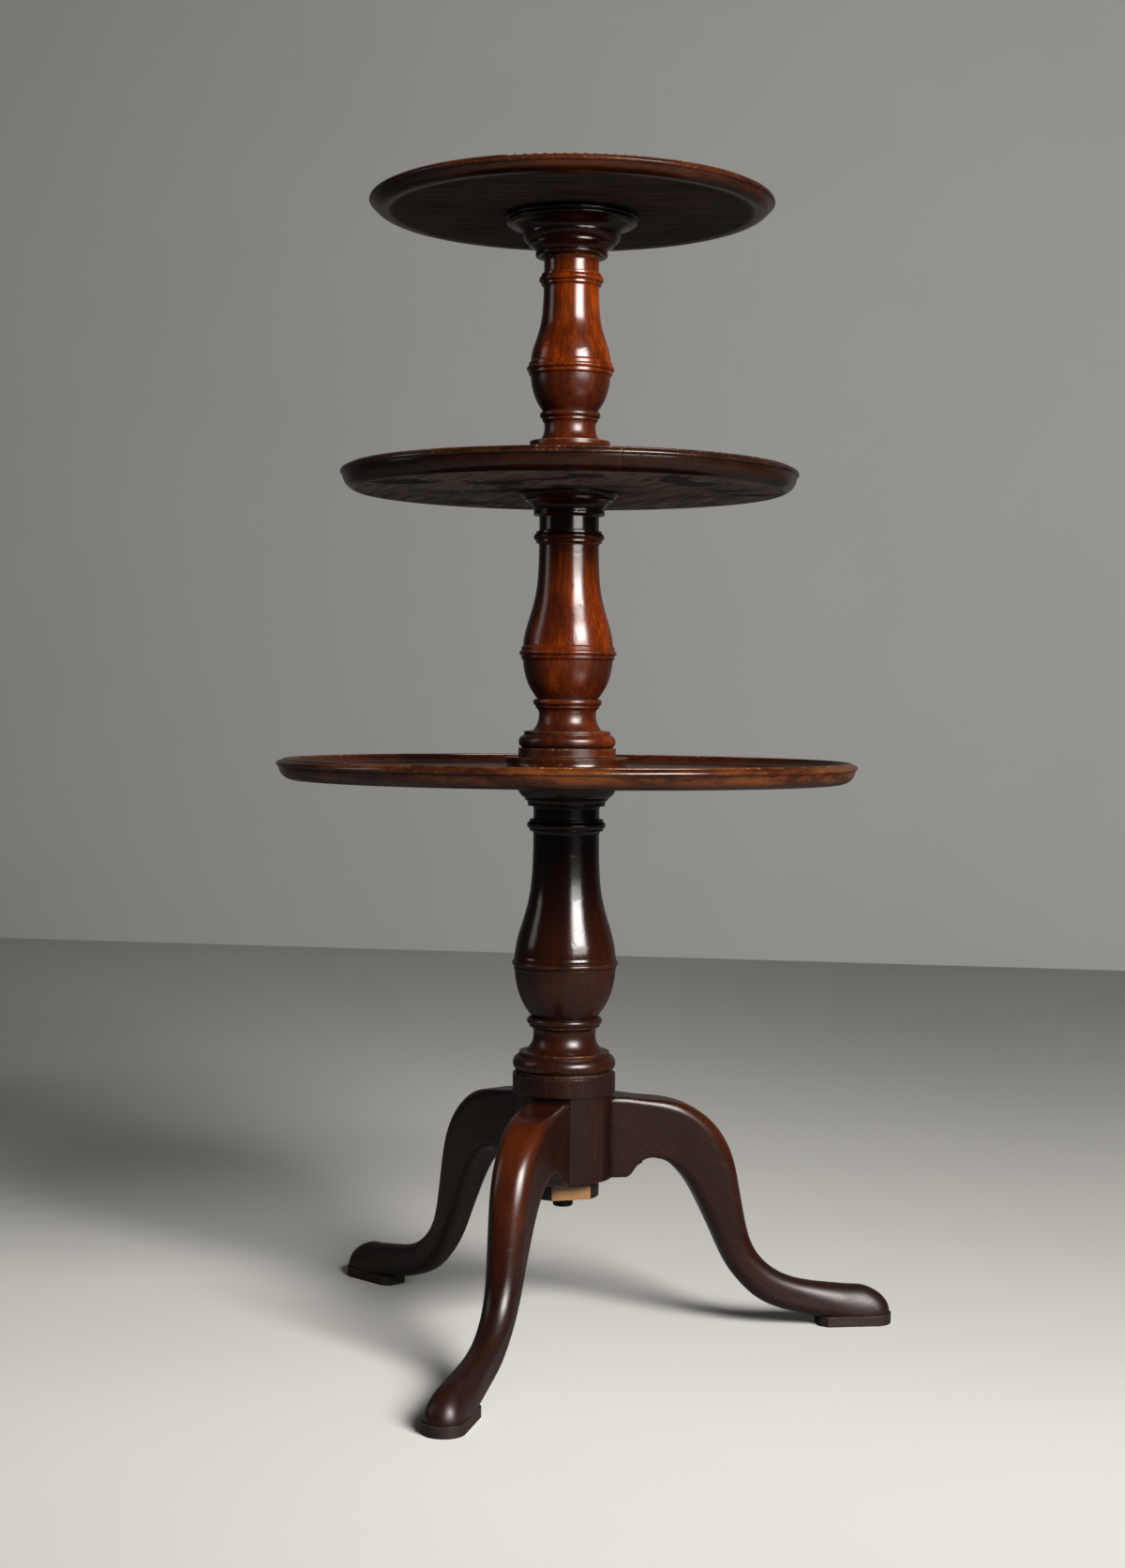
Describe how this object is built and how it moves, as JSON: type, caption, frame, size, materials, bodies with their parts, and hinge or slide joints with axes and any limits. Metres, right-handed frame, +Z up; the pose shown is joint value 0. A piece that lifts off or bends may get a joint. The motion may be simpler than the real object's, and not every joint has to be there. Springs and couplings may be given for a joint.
{
  "type": "tiered side table",
  "caption": "Tiered stand with graduated dished round trays that each turn on a turned baluster pillar, on a tripod base with cabriole legs and pad feet.",
  "frame": {"origin": "on the floor, on the axis of the pillar", "axes": "+Z up along the pillar; the front leg points along -Y"},
  "size_m": [0.6426, 0.6727, 1.2007],
  "materials": {
    "pillar_mahogany": "French-polished mahogany, glossy",
    "tray_mahogany": "polished mahogany above, dry wood below",
    "base_mahogany": "dark polished mahogany, satin",
    "block_wood": "dark stained wood, dull",
    "disc_wood": "dark wood with one freshly planed flat",
    "iron": "dark oxidised iron"
  },
  "bodies": {
    "stand": {"tripod_drum": "base_mahogany", "lower_column": "pillar_mahogany", "middle_column": "pillar_mahogany", "upper_column": "pillar_mahogany", "leg_front": "base_mahogany", "leg_right": "base_mahogany", "leg_left": "base_mahogany", "foot_block_front": "block_wood", "foot_block_right": "block_wood", "foot_block_left": "block_wood", "retaining_disc": "disc_wood", "retaining_screw": "iron"},
    "bottom_tray_turning": {"bottom_tray": "tray_mahogany"},
    "middle_tray_turning": {"middle_tray_wide_board": "tray_mahogany", "middle_tray_narrow_board": "tray_mahogany"},
    "top_tray_turning": {"top_tray": "tray_mahogany", "top_bearer": "pillar_mahogany"}
  },
  "joints": [
    {"name": "bottom_tray_spin", "type": "hinge", "parent": "stand", "child": "bottom_tray_turning", "pos_m": [0, 0, 0.592], "axis": [0, 0, 1], "continuous": true},
    {"name": "middle_tray_spin", "type": "hinge", "parent": "stand", "child": "middle_tray_turning", "pos_m": [0, 0, 0.8949], "axis": [0, 0, 1], "continuous": true},
    {"name": "top_tray_spin", "type": "hinge", "parent": "stand", "child": "top_tray_turning", "pos_m": [0, 0, 1.1847], "axis": [0, 0, 1], "continuous": true}
  ]
}
